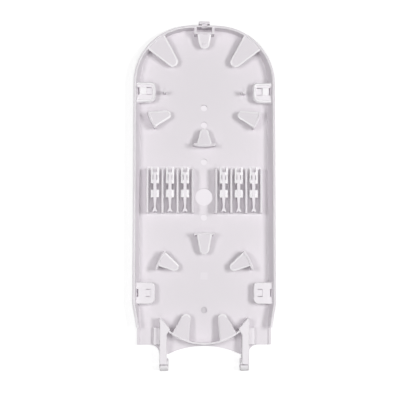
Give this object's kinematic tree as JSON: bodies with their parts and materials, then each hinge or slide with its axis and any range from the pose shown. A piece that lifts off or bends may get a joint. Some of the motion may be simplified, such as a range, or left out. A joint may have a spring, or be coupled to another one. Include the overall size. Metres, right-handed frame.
{
  "type": "fibre splice tray",
  "caption": "Shallow arched-end tray with splice-sleeve ribs, snap posts, fibre hold-down tongues, side entry ports, a latch finger and clip-on hinge barrels.",
  "frame": {"origin": "on the axis of the centre hole, in the plane of the underside", "axes": "+X across the tray, +Y along it towards the arched end, +Z out of its open side"},
  "size_m": [0.1, 0.2462, 0.01],
  "materials": {
    "tray_plastic": "satin moulded"
  },
  "bodies": {
    "root": {"splice_tray": "tray_plastic"}
  },
  "joints": []
}
